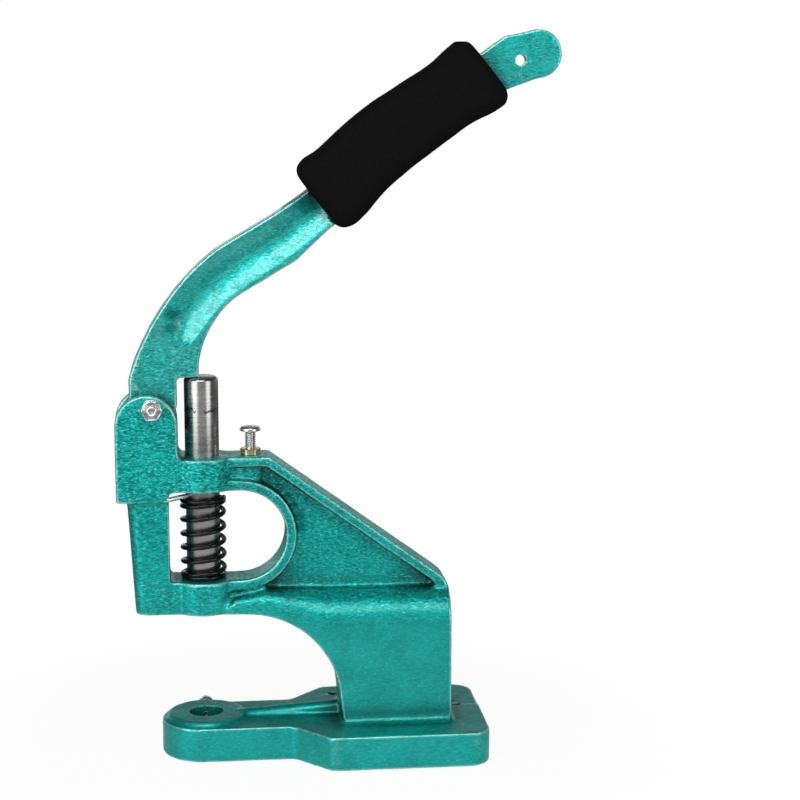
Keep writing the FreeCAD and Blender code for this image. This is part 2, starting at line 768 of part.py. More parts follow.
def joined(label, *shapes):
    thing = doc.addObject("Part::MultiFuse", label)
    thing.Label = label
    thing.Shapes = list(shapes)
    return thing


def bored(label, outer, inner):
    thing = doc.addObject("Part::Cut", label)
    thing.Label = label
    thing.Base = outer
    thing.Tool = inner
    return thing


def pivot_bolt():
    base = ("pivot_x", "head_half", "pivot_height")
    head = hexagon("bolt_head", "hex_flats", "pivot_head", base, across=True)
    reach = "head_half + pivot_nut_thick + pivot_stub"
    shank = cylinder("bolt_shank", "pivot_dia / 2", f"{reach} + head_half",
                     ("pivot_x", f"-({reach})", "pivot_height"), across=True)
    return joined("pivot_bolt", head, shank)


def pivot_nut():
    base = ("pivot_x", "-(head_half + pivot_nut_thick)", "pivot_height")
    block = hexagon("nut_block", "hex_flats", "pivot_nut_thick", base, across=True)
    bore = cylinder("nut_bore", "pivot_dia / 2 + thread_fit", "pivot_nut_thick", base, across=True)
    return bored("pivot_nut", block, bore)


def stop_screw():
    base = ("stop_x", "0", "stop_head_height - stop_head_thick")
    head = cylinder("stop_head", "stop_head_dia / 2", "stop_head_thick", base)
    shank = cylinder("stop_shank", "stop_dia / 2", "stop_length",
                     ("stop_x", "0", "stop_head_height - stop_head_thick - stop_length"))
    return joined("stop_screw", head, shank)


def stop_lock_nut():
    base = ("stop_x", "0", "head_top")
    block = hexagon("lock_block", "hex_flats", "lock_thick", base)
    bore = cylinder("lock_bore", "stop_dia / 2 + thread_fit", "lock_thick", base)
    return bored("stop_lock_nut", block, bore)


def die_clamp_screw():
    under = "nose_radius + clamp_stand"
    tip = "die_bore / 2 + clamp_back"
    head = cylinder("clamp_head", "clamp_head_dia / 2", "clamp_head_thick",
                    ("0", under, "clamp_height"), across=True)
    shank = cylinder("clamp_shank", "clamp_dia / 2", f"{under} - {tip}",
                     ("0", tip, "clamp_height"), across=True)
    return joined("die_clamp_screw", head, shank)


MAKERS = [base_casting, frame_casting, lever_casting, lever_grip, ram, ram_pin, return_spring,
          pivot_bolt, pivot_nut, stop_screw, stop_lock_nut, die_clamp_screw]
pieces = [make() for make in MAKERS]
doc.recompute()

for item in doc.Objects:
    if "Invalid" in item.State or "Error" in item.State:
        raise RuntimeError(f"{item.Name} failed: {item.State}")
for piece in pieces:
    if piece.Shape.isNull() or not piece.Shape.isValid():
        raise RuntimeError(f"{piece.Label} has no valid shape")
for piece in pieces:
    piece.Shape.exportStep(f"parts/{piece.Label}.step")
    box = piece.Shape.BoundBox
    print(f"{piece.Label}: {len(piece.Shape.Solids)} solid, {piece.Shape.Volume:.0f} mm3, "
          f"x {box.XMin:.1f}..{box.XMax:.1f}, y {box.YMin:.1f}..{box.YMax:.1f}, "
          f"z {box.ZMin:.1f}..{box.ZMax:.1f}")
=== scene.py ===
import math

import bmesh
import bpy
import numpy as np
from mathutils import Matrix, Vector, noise


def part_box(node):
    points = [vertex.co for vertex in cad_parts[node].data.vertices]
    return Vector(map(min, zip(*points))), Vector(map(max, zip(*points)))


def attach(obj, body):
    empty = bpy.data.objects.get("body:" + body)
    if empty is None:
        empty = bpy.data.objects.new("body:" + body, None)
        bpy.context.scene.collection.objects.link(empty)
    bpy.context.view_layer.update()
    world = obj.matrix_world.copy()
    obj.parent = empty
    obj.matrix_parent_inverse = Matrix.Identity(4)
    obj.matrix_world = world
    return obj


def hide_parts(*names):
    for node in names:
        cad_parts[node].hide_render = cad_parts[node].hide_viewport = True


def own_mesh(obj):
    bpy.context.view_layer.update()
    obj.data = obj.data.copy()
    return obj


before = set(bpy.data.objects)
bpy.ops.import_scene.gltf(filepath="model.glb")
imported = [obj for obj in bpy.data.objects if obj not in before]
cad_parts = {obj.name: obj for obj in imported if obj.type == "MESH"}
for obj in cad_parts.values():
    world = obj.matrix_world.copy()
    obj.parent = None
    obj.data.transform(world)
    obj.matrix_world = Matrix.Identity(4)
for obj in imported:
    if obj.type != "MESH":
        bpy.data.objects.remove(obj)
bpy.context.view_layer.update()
MM = 0.001


# ---------------------------------------------------------------------------------------------
# Frame: one grey-iron sand casting, base, pedestal, web, two lugs, front column and fork in one.
# It is painted with a teal hammered enamel, and its bores are drilled after casting.
# ---------------------------------------------------------------------------------------------
class Link:
    """One output socket of a material. Python's operators on it add the nodes that work it out."""

    def __init__(self, socket):
        self.socket = socket

    def node(self, kind, settings=None, output=0, **values):
        """Adds a node to the same material: its settings, then its sockets' values or links."""
        made = self.socket.id_data.nodes.new(kind)
        for setting, value in (settings or {}).items():
            setattr(made, setting, value)
        for socket in made.inputs:
            if socket.identifier in values:
                self.feed(socket, values[socket.identifier])
        return Link(made.outputs[output])

    def feed(self, socket, value):
        """Links another node's output to a socket, or sets the socket's own value."""
        if isinstance(value, Link):
            self.socket.id_data.links.new(value.socket, socket)
        elif isinstance(value, (tuple, list)) and socket.type == "RGBA":
            socket.default_value = (*value, 1)
        else:
            socket.default_value = value

    def worked(self, other, operation, swapped=False):
        """The node for an operator: Mix for colours, Vector Math for positions, else Math."""
        first, second = (other, self) if swapped else (self, other)
        kinds = {item.socket.type for item in (first, second) if isinstance(item, Link)}
        if "RGBA" in kinds:
            return self.node("ShaderNodeMix", {"data_type": "RGBA", "blend_type": operation}, 2,
                             Factor_Float=1.0, A_Color=self.spread(first), B_Color=self.spread(second))
        if "VECTOR" in kinds:
            return self.node("ShaderNodeVectorMath", {"operation": operation},
                             Vector=self.spread(first), Vector_001=self.spread(second))
        return self.node("ShaderNodeMath", {"operation": operation}, Value=first, Value_001=second)

    @staticmethod
    def spread(item):
        """A number as three equal parts, for a colour or a position; a link or a tuple as it is."""
        return (item, item, item) if isinstance(item, (int, float)) else item

    def __add__(self, other):
        return self.worked(other, "ADD")

    def __radd__(self, other):
        return self.worked(other, "ADD", True)

    def __sub__(self, other):
        return self.worked(other, "SUBTRACT")

    def __rsub__(self, other):
        return self.worked(other, "SUBTRACT", True)

    def __mul__(self, other):
        return self.worked(other, "MULTIPLY")

    def __rmul__(self, other):
        return self.worked(other, "MULTIPLY", True)

    def ramp(self, low, high, start=0.0, end=1.0):
        """Value that eases from start to end while this one goes from low to high."""
        return self.node("ShaderNodeMapRange", {"interpolation_type": "SMOOTHSTEP"}, Value=self,
                         **{"From Min": low, "From Max": high, "To Min": start, "To Max": end})

    def blend(self, first, second):
        """Colour first where this value is 0, and second where it is 1."""
        return self.node("ShaderNodeMix", {"data_type": "RGBA"}, 2,
                         Factor_Float=self, A_Color=first, B_Color=second)

    def along(self, axis):
        """One coordinate of this position: 0 for X, 1 for Y, 2 for Z."""
        return self.node("ShaderNodeSeparateXYZ", output=axis, Vector=self)

    def grain(self, scale, detail=2.0, rough=0.5, stretch=None, warp=0.0):
        """Noise over this position, with features about 1 / scale metres across."""
        place = self * stretch if stretch else self
        return self.node("ShaderNodeTexNoise", Vector=place, Scale=scale, Detail=detail, Roughness=rough,
                         Distortion=warp)


class Finish:
    """A procedural material: the position to work from, and the shader that its links feed."""

    def __init__(self, name, **plain):
        self.material = bpy.data.materials.new(name)
        self.material.use_nodes = True
        self.tree = self.material.node_tree
        self.shader = self.tree.nodes["Principled BSDF"]
        self.place = Link(self.tree.nodes.new("ShaderNodeTexCoord").outputs["Object"])
        for socket, value in plain.items():
            self.shader.inputs[socket.replace("_", " ")].default_value = value

    def link(self, **made):
        for socket, value in made.items():
            self.tree.links.new(value.socket, self.shader.inputs[socket.replace("_", " ")])

    def relief(self, strength, deep, height, under=None):
        """A bump of a height field, deep metres high, on top of another where one is given."""
        more = {"Normal": under} if under else {}
        return self.place.node("ShaderNodeBump", Strength=strength, Distance=deep, Height=height, **more)


def points(mesh):
    """Vertex places of a mesh in millimetres, one row each."""
    flat = np.empty(len(mesh.vertices) * 3)
    mesh.vertices.foreach_get("co", flat)
    return flat.reshape(-1, 3) / MM


def move_points(mesh, places):
    """Puts a mesh's vertices at the given places in millimetres."""
    mesh.vertices.foreach_set("co", (places * MM).ravel())
    mesh.update()


def loose(name, mesh):
    """An object of a mesh that isn't a finished piece yet."""
    thing = bpy.data.objects.new(name, mesh)
    bpy.context.scene.collection.objects.link(thing)
    return thing


def modify(thing, kind, **settings):
    """Adds one modifier with its settings."""
    modifier = thing.modifiers.new(kind.title(), kind)
    for setting, value in settings.items():
        setattr(modifier, setting, value)


def settle(thing):
    """Works an object's modifiers into its mesh."""
    graph = bpy.context.evaluated_depsgraph_get()
    mesh = bpy.data.meshes.new_from_object(thing.evaluated_get(graph))
    thing.modifiers.clear()
    thing.data = mesh


def lofted(name, rows):
    """A closed skin over rings of points in millimetres, all with the same number of points."""
    rows = np.asarray(rows, dtype=float)
    count, sides = rows.shape[:2]
    index = np.arange(count * sides).reshape(count, sides)
    ahead = np.roll(index, -1, axis=1)
    walls = np.stack([index[:-1], ahead[:-1], ahead[1:], index[1:]], axis=-1).reshape(-1, 4)
    lids = [index[0].tolist(), index[-1].tolist()]
    mesh = bpy.data.meshes.new(name)
    mesh.from_pydata((rows.reshape(-1, 3) * MM).tolist(), [], walls.tolist() + lids)
    skin = bmesh.new()
    skin.from_mesh(mesh)
    bmesh.ops.recalc_face_normals(skin, faces=skin.faces)
    skin.to_mesh(mesh)
    skin.free()
    return mesh


def around(sides):
    """Evenly spaced angles, one for each side."""
    return np.arange(sides) * 2 * np.pi / sides


def turned(name, rings, at=(0, 0, 0), facing=(0, 0, 1), sides=64, turn=0.0):
    """A solid turned about an axis: rings of (radius, height), where a radius may change round the axis."""
    ahead = Vector(facing).normalized()
    aside = Vector((1, 0, 0)) if abs(ahead.x) < 0.5 else Vector((0, 1, 0))
    aside = (aside - ahead * aside.dot(ahead)).normalized()
    above = ahead.cross(aside)
    angle = around(sides) + math.radians(turn)
    rows = []
    for radius, height in rings:
        wide = np.outer(radius * np.cos(angle), aside) + np.outer(radius * np.sin(angle), above)
        rows.append(wide + np.outer(height + 0 * angle, ahead) + np.array(at))
    return lofted(name, rows)


def merged(name, *meshes):
    """One mesh of several, each kept as it is."""
    whole = bmesh.new()
    for mesh in meshes:
        whole.from_mesh(mesh)
    joined = bpy.data.meshes.new(name)
    whole.to_mesh(joined)
    whole.free()
    return joined


def cut(thing, *tools):
    """Cuts each tool's solid out of a piece, with crisp edges, and throws the tools away."""
    made = [loose("tool", tool) for tool in tools]
    for tool in made:
        modify(thing, "BOOLEAN", operation="DIFFERENCE", solver="MANIFOLD", object=tool)
    settle(thing)
    for tool in made:
        bpy.data.objects.remove(tool)


def cast_skin(thing, voxel, fillet, softness):
    """Turns a hard-edged solid into a casting: filled inner corners, then softened edges."""
    for swell in (fillet, -fillet):
        modify(thing, "REMESH", mode="VOXEL", voxel_size=voxel * MM)
        modify(thing, "DISPLACE", direction="NORMAL", mid_level=0.0, strength=swell * MM)
    modify(thing, "REMESH", mode="VOXEL", voxel_size=voxel * MM)
    modify(thing, "SMOOTH", factor=0.5, iterations=softness)
    settle(thing)


def uneven(thing, size, height, box):
    """Moves the skin in and out by a slow noise, as a sand mould does, inside the given box."""
    mesh = thing.data
    normal = np.empty(len(mesh.vertices) * 3)
    mesh.vertices.foreach_get("normal", normal)
    place = points(mesh)
    shift = np.array([noise.fractal(Vector(spot / size), 1.0, 2.0, 3) for spot in place])
    place += normal.reshape(-1, 3) * (shift * height)[:, None]
    move_points(mesh, np.clip(place, box[0], box[1]))


def node_box(*nodes):
    """Lowest and highest corner of CAD nodes, in millimetres."""
    corners = np.array([[list(corner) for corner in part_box(node)] for node in nodes]) / MM
    return corners[:, 0].min(axis=0), corners[:, 1].max(axis=0)


def piece(name, made, finish, body, stands_for, crease=40):
    """A finished piece, of a mesh or an object: it wears its material, rides on its body and
    stands for its CAD nodes."""
    thing = made if isinstance(made, bpy.types.Object) else loose(name, made)
    thing.name = name
    thing.data.materials.clear()
    thing.data.materials.append(finish.material)
    for face in thing.data.polygons:
        face.use_smooth = True
        face.material_index = 0
    thing.data.set_sharp_from_angle(angle=math.radians(crease))
    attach(thing, body)
    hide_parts(*stands_for)
    return thing


def nearness(spot, places):
    """1 at each (centre, reach) in millimetres, falling to 0 at its reach."""
    near = None
    for centre, reach in places:
        away = spot.node("ShaderNodeVectorMath", {"operation": "DISTANCE"}, 1,
                         Vector=spot, Vector_001=[value * MM for value in centre])
        close = away.ramp(0.2 * reach * MM, reach * MM, 1.0, 0.0)
        near = close if near is None else close.node("ShaderNodeMath", {"operation": "MAXIMUM"},
                                                     Value=near, Value_001=close)
    return near


# Enamel colours: the nook and crease colours are painted shade, the flake colour a painted glint, the rubbed
# colour rubbed paint with a painted edge highlight, and the last one painted shadow.
WET_TEAL = (0.0, 0.21, 0.19)
NOOK_SHADE = (0.0, 0.035, 0.032)
FLAKE_GLINT_TEAL = (0.3, 0.85, 0.8)
CREASE_SHADE_TEAL = (0.0, 0.05, 0.045)
RUBBED_AND_LIT_TEAL = (0.42, 0.88, 0.82)
SHADOW_TEAL = (0.0, 0.06, 0.055)


def enamel(name, pale, gloss, grit, worn, bare, shadowed_spots, alone=True):
    """Hammered enamel: metallic teal that dried in fine wrinkles, coarser where grit says so.

    Painted shade darkens it in corners, recesses and creases, and its edges are painted pale, partly rubbed
    paint and partly painted highlight.
    Its flakes are painted pale as glints; it is chipped to bare at the worn spots, and painted shadow darkens
    it and thins its coat at the shadowed spots. Where alone is false, other pieces close by add painted shade
    too.
    """
    paint = Finish(name, Coat_Roughness=0.18, Coat_IOR=1.65, Metallic=0.88)
    spot = paint.place
    level = spot.along(2)
    amount = grit[0][1]
    for (low, thin), (high, thick) in zip(grit, grit[1:]):
        amount = level.ramp(low * MM, high * MM, 0.0, thick - thin) + amount
    wrinkle = spot.grain(600, 3.0, 0.6, (0.65, 0.65, 1.6), 0.6)
    fleck = spot.grain(1150, 2.0, 0.6, (0.55, 0.55, 1.4))
    mottle = spot.grain(60, 3.0, 0.6)
    relief = wrinkle.ramp(0.36, 0.64) * 0.55 + fleck.ramp(0.36, 0.64) * 0.45 - 0.5
    tone = amount * relief + mottle.ramp(0.3, 0.7) * 0.2 + 0.4
    # Painted shade: ambient occlusion darkens corners and recesses towards NOOK_SHADE, from other pieces too
    # where alone is false.
    nook = spot.node("ShaderNodeAmbientOcclusion", {"samples": 6, "only_local": alone}, 1, Distance=16 * MM)
    teal = tone.blend(WET_TEAL, pale)
    teal = nook.ramp(0.48, 0.94, 0.9, 0.0).blend(teal, NOOK_SHADE)
    # Painted glint: pale flecks where the paint's flakes would catch the light.
    flake_glints = amount * fleck.ramp(0.58, 0.7) * wrinkle.ramp(0.42, 0.58) * 0.5
    crest = spot.node("ShaderNodeNewGeometry", output=7)
    # Painted shade: concave creases, found by pointiness, darken towards the crease colour.
    crease_shaded = crest.ramp(0.4, 0.48, 0.75, 0.0).blend(flake_glints.blend(teal, FLAKE_GLINT_TEAL), CREASE_SHADE_TEAL)
    # Convex edges painted pale: partly paint rubbed thin, partly a painted highlight along the edges.
    rubbed_and_lit = crest.ramp(0.512, 0.545) * spot.grain(330, 3.0, 0.7).ramp(0.36, 0.52, 0.4, 1.0) * 0.9
    # Painted shadow: dark spots with less coat where shade falls, in grooves and by other pieces.
    painted_shadow = nearness(spot, shadowed_spots)
    colour = (painted_shadow * 0.7).blend(rubbed_and_lit.blend(crease_shaded, RUBBED_AND_LIT_TEAL), SHADOW_TEAL)
    paint.link(Coat_Weight=painted_shadow.ramp(0.0, 0.7, 1.0, 0.1) * crest.ramp(0.51, 0.54, gloss, 1.0))
    chips = (nearness(spot, worn) * 0.3 + spot.grain(850, 4.0, 0.6)).ramp(0.66, 0.94) * 0.6
    paint.link(Base_Color=chips.blend(colour, bare), Roughness=tone.ramp(0.2, 0.8, 0.5, 0.4))
    bump = paint.relief(0.7, 0.0006, amount * wrinkle * 0.8 + mottle * 0.4)
    paint.link(Normal=paint.relief(0.6, 0.0002, amount * fleck, bump))
    return paint


ROUND_SIDES = 96
DIE_BORE = 9.3
RAM_BORE = 9.05
FIXING_HOLE = 2.8
CLAMP_HOLE = 2.05
PIVOT_HOLE = 3.05
STOP_HOLE = 3.05
SEAT_TOP = 21.1
BASE_TOP = 18.4
REAR_TOP = 17.4
LUGS = [(78.3, 95.9), (144.4, 162.3)]
FRONT_FIXING = (70.6, 31.7, 0)
REAR_FIXING = (137.2, 7.5, 0)
CLAMP_LINE = (0, 0, 15.4)
PIVOT_LINE = (-25.8, 0, 189.3)
STOP_LINE = (25.5, 0, 0)
EAR_INSIDE = 7.3
EAR_FACE = 14
CLAMP_WALL = (8, 23.3)
PLUG_LAP = 0.7
JOIN_DEPTH = 3
DIE_DRILL = (-2, 24)
RAM_DRILL = (76, 184)
CLAMP_DRILL = (5, 27)
STOP_DRILL = (140, 170)
DRILL_OVERRUN = 2
FRAME_WORN = [((67.5, -44, 13), 6), ((67.5, -44, 5), 5), ((141, -44, 13), 5)]
FRAME_GRIT = [(68, 0.35), (90, 1.0), (125, 1.05), (150, 1.6)]
# Painted shadow along the groove outside the window's rim, where the web lies in shade.
RIM_GROOVE = [(34, -6, 148), (40, -6, 144), (45, -6, 140), (48, -6, 135), (50, -6, 129), (51, -6, 123)]
FRAME_SHADOW_SPOTS = [(centre, 4) for centre in RIM_GROOVE]
THIN_GREY = (0.13, 0.44, 0.41)
FRAME_TEAL = (0.008, 0.6, 0.55)


def rod(radius, low, high, **placing):
    """A plain round rod, with a ring about every millimetre."""
    rings = [(radius, height) for height in np.linspace(low, high, int(high - low) + 2)]
    return turned("rod", rings, sides=ROUND_SIDES, **placing)


def drill(radius, top, **placing):
    """A drill through the base, with a countersink that breaks the hole's upper edge."""
    rings = [(radius, height) for height in np.linspace(-DRILL_OVERRUN, top - 0.6, 16)]
    rings += [(radius + 0.7, top + 0.1), (radius + 1.6, top + 1)]
    return turned("drill", rings, sides=ROUND_SIDES, **placing)


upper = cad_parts["frame_casting"].data.copy()
sunk = points(upper)
sunk[sunk[:, 2] < BASE_TOP + 0.05, 2] -= JOIN_DEPTH
move_points(upper, sunk)
plugs = [rod(DIE_BORE + PLUG_LAP, 0, SEAT_TOP),
         rod(FIXING_HOLE + PLUG_LAP, 0, BASE_TOP, at=FRONT_FIXING),
         rod(FIXING_HOLE + PLUG_LAP, 0, REAR_TOP, at=REAR_FIXING),
         rod(CLAMP_HOLE + PLUG_LAP, *CLAMP_WALL, at=CLAMP_LINE, facing=(0, 1, 0)),
         rod(STOP_HOLE + PLUG_LAP, *LUGS[1], at=STOP_LINE)]
plugs += [rod(RAM_BORE + PLUG_LAP, low, high) for low, high in LUGS]
plugs += [rod(PIVOT_HOLE + PLUG_LAP, EAR_INSIDE, EAR_FACE, at=PIVOT_LINE, facing=(0, side, 0))
          for side in (-1, 1)]
skin = loose("skin", merged("skin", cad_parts["base_casting"].data, upper, *plugs))
cast_skin(skin, voxel=0.7, fillet=1.0, softness=3)
uneven(skin, size=14, height=0.12, box=node_box("base_casting", "frame_casting"))
cut(skin,
    rod(DIE_BORE, *DIE_DRILL),
    rod(RAM_BORE, *RAM_DRILL),
    drill(FIXING_HOLE, BASE_TOP, at=FRONT_FIXING),
    drill(FIXING_HOLE, REAR_TOP, at=REAR_FIXING),
    rod(CLAMP_HOLE, *CLAMP_DRILL, at=CLAMP_LINE, facing=(0, 1, 0)),
    rod(STOP_HOLE, *STOP_DRILL, at=STOP_LINE),
    rod(PIVOT_HOLE, -EAR_FACE - DRILL_OVERRUN, EAR_FACE + DRILL_OVERRUN, at=PIVOT_LINE, facing=(0, 1, 0)))
frame_enamel = enamel("frame_enamel", FRAME_TEAL, gloss=0.25, grit=FRAME_GRIT, worn=FRAME_WORN,
                      bare=THIN_GREY, shadowed_spots=FRAME_SHADOW_SPOTS)
piece("frame_painted", skin, frame_enamel, "frame", ["base_casting", "frame_casting"])


# ---------------------------------------------------------------------------------------------
# Ram: a ground steel rod that slides in both lugs, bevelled at both ends and drilled below for the
# upper die. A plain steel cross pin is driven through it right under the upper lug.
# ---------------------------------------------------------------------------------------------
RAM_RADIUS = 9
RAM_LOW = 80
RAM_HIGH = 204.3
DIE_THREAD = 5
DIE_DEPTH = 20
PIN_RADIUS = 1.3
PIN_HALF = 26
PIN_HEIGHT = 141.9
PIN_TURN = 43
MARKS_HEIGHT = 187.2
MARKS_WANDER = 7
MARKS_DARK = (0.03, 0.03, 0.03)
DULL_STEEL = (0.3, 0.3, 0.295)
CLEAN_STEEL = (0.46, 0.46, 0.45)
DULL_PIN = (0.66, 0.66, 0.65)
BRIGHT_PIN = (0.88, 0.88, 0.87)

ground_steel = Finish("ground_steel", Metallic=1.0)
spot = ground_steel.place
lines = spot.grain(60, 3.0, 0.6, (1, 1, 30))
stain = spot.grain(140, 4.0, 0.65)
wander = (spot.grain(420, 1.0, 0.5, (1, 1, 0.02)) - 0.5) * (MARKS_WANDER * MM)
gap = spot.node("ShaderNodeMath", {"operation": "ABSOLUTE"}, Value=spot.along(2) - MARKS_HEIGHT * MM - wander)
marks = gap.ramp(0.35 * MM, 0.8 * MM, 1.0, 0.0) * spot.grain(260, 1.0, 0.5, (1, 1, 0.05)).ramp(0.38, 0.44)
sheen = lines.ramp(0.35, 0.65) * 0.6 + stain.ramp(0.35, 0.7) * 0.4
ground_steel.link(Base_Color=(marks * 0.85).blend(sheen.blend(DULL_STEEL, CLEAN_STEEL), MARKS_DARK),
                  Roughness=(lines * 0.12 + stain * 0.16).ramp(0.0, 0.28, 0.2, 0.34),
                  Normal=ground_steel.relief(0.15, 0.0001, lines))
bore = [(0.1, RAM_LOW + DIE_DEPTH + 2), (DIE_THREAD, RAM_LOW + DIE_DEPTH), (DIE_THREAD, RAM_LOW + 0.7),
        (DIE_THREAD + 0.7, RAM_LOW)]
foot = [(RAM_RADIUS - inset, RAM_LOW + rise) for inset, rise in ((1.5, 0), (0.5, 0.6), (0, 1.6))]
crown = [(RAM_RADIUS - inset, RAM_HIGH - drop)
         for inset, drop in ((0, 1.9), (0.12, 1.4), (0.5, 0.75), (1.0, 0.3), (1.6, 0))]
ram = turned("ram", bore + foot + crown + [(0.1, RAM_HIGH)], sides=ROUND_SIDES)
piece("ram_rod", ram, ground_steel, "plunger", ["ram"])

pin_steel = Finish("pin_steel", Metallic=1.0)
scuffs = pin_steel.place.grain(700, 3.0, 0.6)
pin_steel.link(Base_Color=scuffs.ramp(0.3, 0.7).blend(DULL_PIN, BRIGHT_PIN),
               Roughness=scuffs.ramp(0.3, 0.7, 0.22, 0.36), Normal=pin_steel.relief(0.1, 0.0001, scuffs))
heading = (math.cos(math.radians(PIN_TURN)), math.sin(math.radians(PIN_TURN)), 0)
nose = [(0.2, 0), (0.75, 0.05), (1.05, 0.25), (PIN_RADIUS, 0.7)]
tail = [(radius, 2 * PIN_HALF - height) for radius, height in reversed(nose)]
rings = [(radius, height - PIN_HALF) for radius, height in nose + tail]
pin = turned("pin", rings, (0, 0, PIN_HEIGHT), heading, 32)
piece("cross_pin", pin, pin_steel, "plunger", ["ram_pin"])


# ---------------------------------------------------------------------------------------------
# Return spring: right-handed coil of round wire, blackened and oiled, its end turns closed and
# ground flat. It stands on the lower lug round the ram and lifts the cross pin.
# ---------------------------------------------------------------------------------------------
WIRE = 1.25
COIL = 11
SPRING_LOW = 96.0
SPRING_HIGH = 140.5
COIL_STEPS = 480
WIRE_SIDES = 20
WIRE_BLACK = (0.001, 0.001, 0.001)
WIRE_BROWN = (0.005, 0.0045, 0.0045)
TURNS = [0, 1, 2, 3, 4, 5, 6, 6.5, 7, 7.5]
TURN_HEIGHTS = [97.2, 98.3, 105.1, 112.6, 120.0, 127.7, 135.1, 137.6, 138.3, 139.1]


def eased(knots, values, at):
    """A smooth line through the values at the knots, read at other places."""
    knots = np.asarray(knots, dtype=float)
    values = np.asarray(values, dtype=float)
    slope = np.gradient(values, knots)
    left = np.clip(np.searchsorted(knots, at, side="right") - 1, 0, len(knots) - 2)
    span = knots[left + 1] - knots[left]
    part = (at - knots[left]) / span
    rise = values[left + 1] - values[left]
    bend = part * (1 - part) ** 2 * span * slope[left] - part ** 2 * (1 - part) * span * slope[left + 1]
    return values[left] + rise * part ** 2 * (3 - 2 * part) + bend


turn = np.linspace(0, TURNS[-1], COIL_STEPS)
angle = math.pi + turn * 2 * math.pi
core = np.stack([COIL * np.cos(angle), COIL * np.sin(angle), eased(TURNS, TURN_HEIGHTS, turn)], axis=1)
ahead = np.gradient(core, axis=0)
ahead /= np.linalg.norm(ahead, axis=1)[:, None]
aside = np.stack([np.cos(angle), np.sin(angle), 0 * angle], axis=1)
above = np.cross(ahead, aside)
section = around(WIRE_SIDES)
wire = [centre + WIRE * (np.outer(np.cos(section), out) + np.outer(np.sin(section), up))
        for centre, out, up in zip(core, aside, above)]
coil = lofted("coil", wire)
ground_ends = points(coil)
ground_ends[:, 2] = np.clip(ground_ends[:, 2], SPRING_LOW, SPRING_HIGH)
move_points(coil, ground_ends)
black_wire = Finish("black_wire", Specular_IOR_Level=0.35)
streak = black_wire.place.grain(380, 3.0, 0.6)
black_wire.link(Base_Color=streak.ramp(0.35, 0.7).blend(WIRE_BLACK, WIRE_BROWN),
                Roughness=streak.ramp(0.3, 0.7, 0.16, 0.26), Normal=black_wire.relief(0.1, 0.0001, streak))
spring = piece("spring_coil", coil, black_wire, "frame", ["return_spring"])
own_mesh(spring)


# ---------------------------------------------------------------------------------------------
# Lever: a second iron casting in the same enamel, hollowed along both sides of its bend, thinner
# inside the grip and at its flat end. It turns on a bolt between the ears and its heel rests on the ram.
# ---------------------------------------------------------------------------------------------
LEVER_HALF = 7
BAR_HALF = 5
BLADE_HALF = 3.5
GRIP_ROOT = (60.2, 289.9)
GRIP_TILT = math.radians(37.6)
BLADE_AT = 113.5
BAR_SHOULDER = (3, 8)
BLADE_EASE = 3
SCOOP_DEEP = 3.8
UNDER_LIP = [(-7, 219.5), (1.5, 230), (10.3, 240.8), (22.5, 250.9), (41.3, 262.8), (54.1, 272.6),
             (69.3, 284.5)]
OVER_LIP = [(-19.5, 228), (-18.5, 239), (-9, 255.5), (7.8, 270.2), (29.7, 283.4), (51, 296.7), (62, 306)]
HANG_HOLE = 2.9
HANG_SPOT = (168.1, 0, 367.9)
LEVER_WORN = [((-33.4, -7, 212.3), 3), ((-35.0, -7, 208.7), 3), ((-35.4, -7, 204.5), 2),
              ((-34.7, -7, 200.2), 4), ((-12, -6, 205), 4)]
LEVER_GRIT = [(170, 1.1), (212, 1.1), (232, 0.7)]
# Painted shadow: by the grip's mouth, and at the start of the hollow where its flank is dark.
LEVER_SHADOW_SPOTS = [((56, -4, 298), 13), ((49, 0, 295), 10), ((-14, -5, 237), 6.5), ((-15, -5, 231), 6)]
THIN_TEAL = (0.5, 0.85, 0.8)
LEVER_TEAL = (0.01, 0.72, 0.66)


def stepped(value, low, high):
    """Eases from 0 to 1 while the value goes from low to high."""
    part = np.clip((value - low) / (high - low), 0, 1)
    return part * part * (3 - 2 * part)


def scoop(across, up):
    """How deep the hollow is at each place of the side view, between its lower and its upper lip."""
    knots = range(len(UNDER_LIP))
    stretch = np.linspace(0, len(UNDER_LIP) - 1, 160)
    under, over = (np.stack([eased(knots, line, stretch) for line in zip(*lip)], axis=1)
                   for lip in (UNDER_LIP, OVER_LIP))
    span = over - under
    width = np.linalg.norm(span, axis=1)
    part = np.zeros(len(across))
    where = np.zeros(len(across))
    best = np.full(len(across), np.inf)
    for count in range(len(stretch)):
        east, north = across - under[count, 0], up - under[count, 1]
        along = (east * span[count, 0] + north * span[count, 1]) / width[count] ** 2
        off = np.abs(east * span[count, 1] - north * span[count, 0]) / width[count]
        off += np.maximum(0, np.abs(along - 0.5) - 0.5) * width[count]
        nearer = off < best
        best[nearer], part[nearer], where[nearer] = off[nearer], along[nearer], stretch[count]
    part = np.clip(part, 0, 1)
    fill = 2 * part * (1 - part) + 0.25 * (1 - np.cos(2 * np.pi * part))
    start = stepped(where, 0, 0.4 + 1.3 * part)
    return np.where(best < 1.0, SCOOP_DEEP * fill * start, 0)


